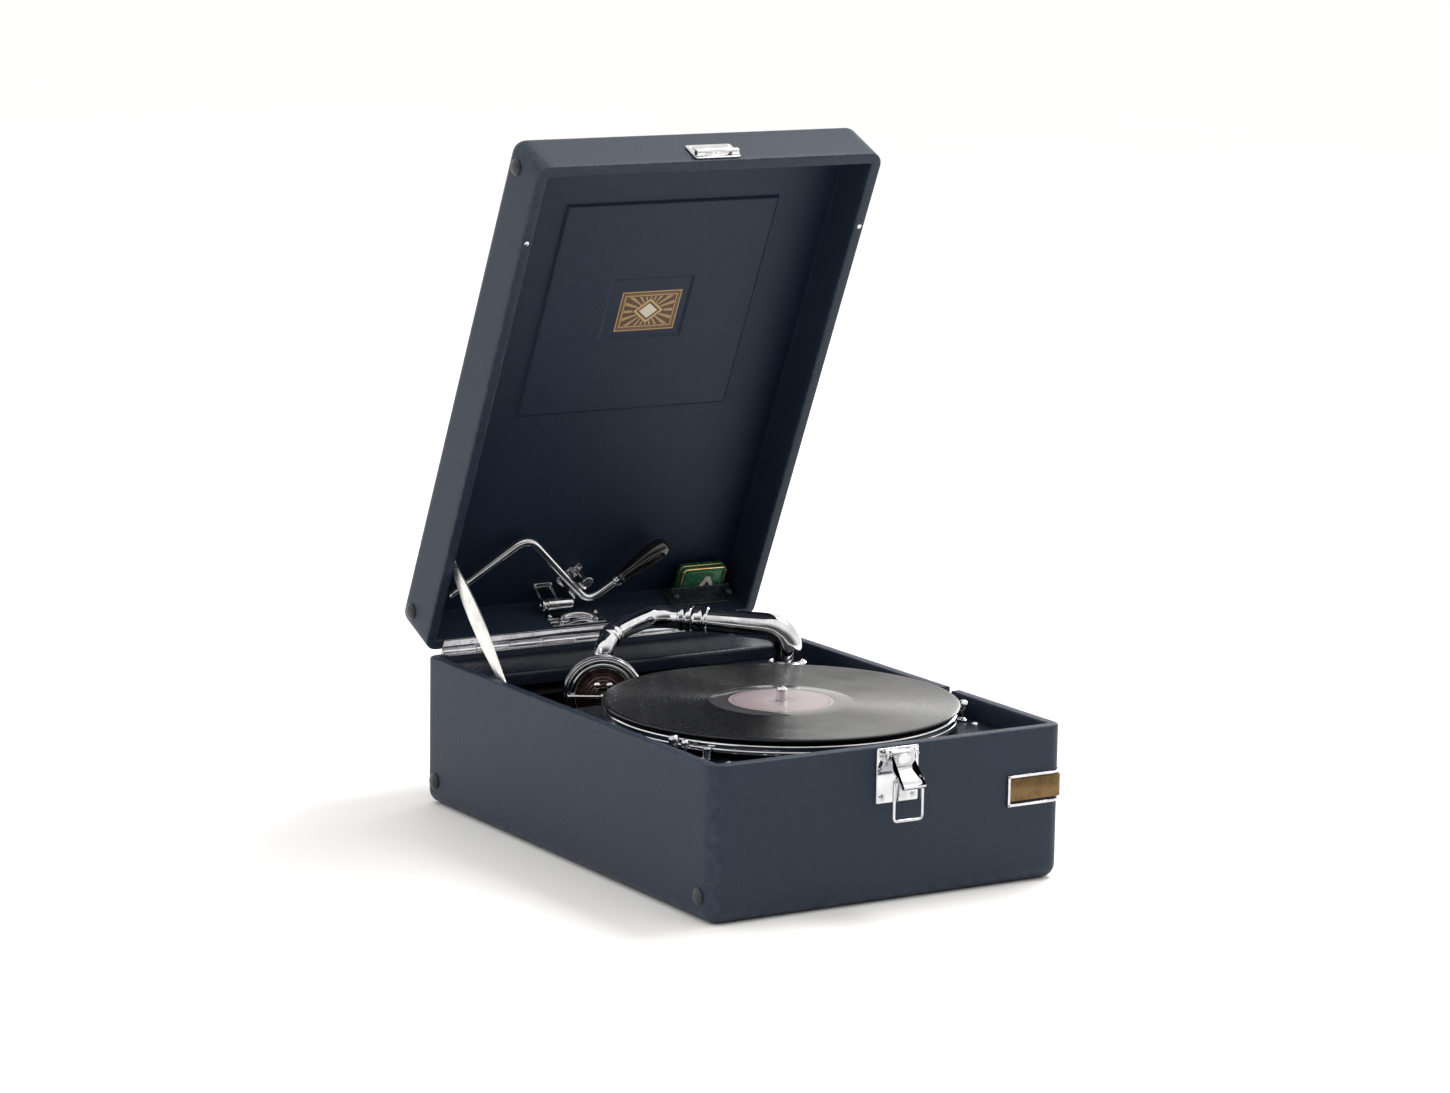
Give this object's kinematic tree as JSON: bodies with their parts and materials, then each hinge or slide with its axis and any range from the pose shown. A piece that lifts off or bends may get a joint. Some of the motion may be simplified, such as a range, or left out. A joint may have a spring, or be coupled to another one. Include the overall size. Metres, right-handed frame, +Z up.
{
  "type": "wind up phonograph",
  "caption": "Portable wind-up gramophone in a hinged carrying case, with a record turntable, spring motor, folded horn, swinging tone arm and a crank stowed in the lid.",
  "frame": {"origin": "centre of the case's underside", "axes": "+X to the right seen from the latch, +Y from the latch to the lid hinge, +Z up"},
  "size_m": [0.3017, 0.4746, 0.5016],
  "materials": {
    "navy_leathercloth": "fine-grained leathercloth, satin",
    "navy_deck": "leathercloth over a board, satin",
    "chrome_plate": "polished plating",
    "motor_steel": "machined",
    "gear_brass": "machined",
    "black_shellac": "grooved, glossy",
    "navy_felt": "felt",
    "black_grip": "polished ebonite",
    "grey_stud": "matt",
    "black_horn": "black lacquer",
    "bronze_tray": "bronze lacquer",
    "green_tin": "printed tin plate",
    "dark_diaphragm": "dark lacquer"
  },
  "bodies": {
    "case": {"base_case": "navy_leathercloth", "motor_board": "navy_deck", "rear_deck_rail": "navy_deck", "base_side_stud_front": "grey_stud", "base_side_stud_rear": "grey_stud", "horn": "black_horn", "horn_throat": "black_horn", "hinge_base_leaf": "chrome_plate", "hinge_pin": "chrome_plate", "motor_top_plate": "motor_steel", "motor_bottom_plate": "motor_steel", "winding_bush": "chrome_plate", "tonearm_base": "chrome_plate", "latch_plate": "chrome_plate", "handle_bracket_front": "chrome_plate", "handle_bracket_rear": "chrome_plate", "needle_box_frame": "chrome_plate", "stay_catch": "chrome_plate"},
    "lid": {"lid_case": "navy_leathercloth", "lid_side_stud_front": "grey_stud", "lid_side_stud_rear": "grey_stud", "hinge_lid_leaf": "chrome_plate", "lid_hook": "chrome_plate", "crank_clip": "chrome_plate", "crank_cradle": "chrome_plate", "tin_holder": "grey_stud", "lid_wall_plate": "chrome_plate"},
    "stay": {"lid_stay": "chrome_plate"},
    "platter": {"turntable": "chrome_plate", "turntable_mat": "navy_felt", "spindle": "motor_steel"},
    "record": {"record": "black_shellac"},
    "intermediate": {"intermediate_gear": "gear_brass"},
    "barrel": {"spring_barrel": "gear_brass", "barrel_cover": "motor_steel", "mainspring": "motor_steel"},
    "arbor": {"barrel_arbor": "motor_steel"},
    "winding": {"winding_shaft": "motor_steel"},
    "governor": {"governor_shaft": "motor_steel", "governor_weights": "gear_brass", "governor_disc": "gear_brass"},
    "brake": {"brake_lever": "chrome_plate"},
    "regulator": {"speed_regulator": "chrome_plate"},
    "arm": {"tonearm": "chrome_plate"},
    "neck": {"gooseneck": "chrome_plate", "sound_box_shell": "chrome_plate", "diaphragm": "dark_diaphragm", "needle_bar": "chrome_plate"},
    "needle": {"needle": "motor_steel"},
    "lever": {"latch_lever": "chrome_plate"},
    "bail": {"latch_bail": "chrome_plate"},
    "handle": {"carrying_handle": "navy_leathercloth"},
    "tray": {"needle_tray": "bronze_tray"},
    "crank": {"crank": "chrome_plate"},
    "grip": {"crank_grip": "black_grip"},
    "tin": {"needle_tin": "green_tin"}
  },
  "joints": [
    {"name": "lid_hinge", "type": "hinge", "parent": "case", "child": "lid", "pos_m": [0, 0.2076, 0.11025], "axis": [1, 0, 0], "range_deg": [0, 65.5]},
    {"name": "lid_stay_swing", "type": "hinge", "parent": "lid", "child": "stay", "pos_m": [-0.1341, 0.18072, 0.18262], "axis": [1, 0, 0], "range_deg": [-115, 0]},
    {"name": "platter_spin", "type": "hinge", "parent": "case", "child": "platter", "pos_m": [0.004, -0.056, 0.1], "axis": [0, 0, -1], "continuous": true},
    {"name": "record_lift", "type": "slide", "parent": "platter", "child": "record", "axis": [0, 0, 1], "range_m": [0, 0.03]},
    {"name": "intermediate_spin", "type": "hinge", "parent": "case", "child": "intermediate", "pos_m": [0.01426, -0.08419, 0.06], "axis": [0, 0, -1], "continuous": true},
    {"name": "barrel_spin", "type": "hinge", "parent": "case", "child": "barrel", "pos_m": [-0.02612, -0.09131, 0.045], "axis": [0, 0, -1], "continuous": true},
    {"name": "governor_spin", "type": "hinge", "parent": "case", "child": "governor", "pos_m": [0, -0.0391, 0.047], "axis": [1, 0, 0], "continuous": true},
    {"name": "arbor_spin", "type": "hinge", "parent": "case", "child": "arbor", "pos_m": [-0.02612, -0.09131, 0.05], "axis": [0, 0, -1], "continuous": true},
    {"name": "winding_spin", "type": "hinge", "parent": "case", "child": "winding", "pos_m": [-0.01792, -0.09131, 0.073], "axis": [1, 0, 0], "continuous": true},
    {"name": "brake_turn", "type": "hinge", "parent": "case", "child": "brake", "pos_m": [-0.1175, -0.1115, 0.1], "axis": [0, 0, 1], "range_deg": [-14, 0]},
    {"name": "speed_turn", "type": "hinge", "parent": "case", "child": "regulator", "pos_m": [0.1245, -0.108, 0.1], "axis": [0, 0, 1], "range_deg": [-20, 20]},
    {"name": "arm_swing", "type": "hinge", "parent": "case", "child": "arm", "pos_m": [0.094, 0.078, 0.1], "axis": [0, 0, 1], "range_deg": [-7, 1.4]},
    {"name": "neck_turn", "type": "hinge", "parent": "arm", "child": "neck", "pos_m": [0.041, 0.127, 0.135], "axis": [0.7334, -0.6781, -0.0484], "range_deg": [-105, 0]},
    {"name": "needle_slide", "type": "slide", "parent": "neck", "child": "needle", "axis": [0, 0, -1], "range_m": [0, 0.004]},
    {"name": "latch_lever_turn", "type": "hinge", "parent": "case", "child": "lever", "pos_m": [0.0034, -0.2106, 0.1046], "axis": [1, 0, 0], "range_deg": [-60, 0]},
    {"name": "latch_bail_swing", "type": "hinge", "parent": "lever", "child": "bail", "pos_m": [0.0034, -0.2202, 0.0894], "axis": [1, 0, 0], "range_deg": [-165, 20]},
    {"name": "handle_swing", "type": "hinge", "parent": "case", "child": "handle", "pos_m": [0.1493, 0, 0.08], "axis": [0, 1, 0], "range_deg": [-100, 0]},
    {"name": "needle_tray_swing", "type": "hinge", "parent": "case", "child": "tray", "pos_m": [0.135, -0.1975, 0.067], "axis": [0, 0, 1], "range_deg": [0, 80]},
    {"name": "crank_slide", "type": "slide", "parent": "lid", "child": "crank", "axis": [0, -0.91, -0.4147], "range_m": [0, 0.018]},
    {"name": "grip_spin", "type": "hinge", "parent": "crank", "child": "grip", "pos_m": [0.027, 0.21292, 0.15224], "axis": [0.769, -0.2651, 0.5817], "continuous": true},
    {"name": "tin_slide", "type": "slide", "parent": "lid", "child": "tin", "axis": [0, -0.4147, 0.91], "range_m": [0, 0.04]}
  ],
  "couplings": [
    {"joint": "lid_stay_swing", "follows": "lid_hinge", "ratio": -1.574},
    {"joint": "intermediate_spin", "follows": "platter_spin", "ratio": -0.25},
    {"joint": "barrel_spin", "follows": "platter_spin", "ratio": 0.034722},
    {"joint": "governor_spin", "follows": "platter_spin", "ratio": -26},
    {"joint": "winding_spin", "follows": "arbor_spin", "ratio": 2.1}
  ]
}
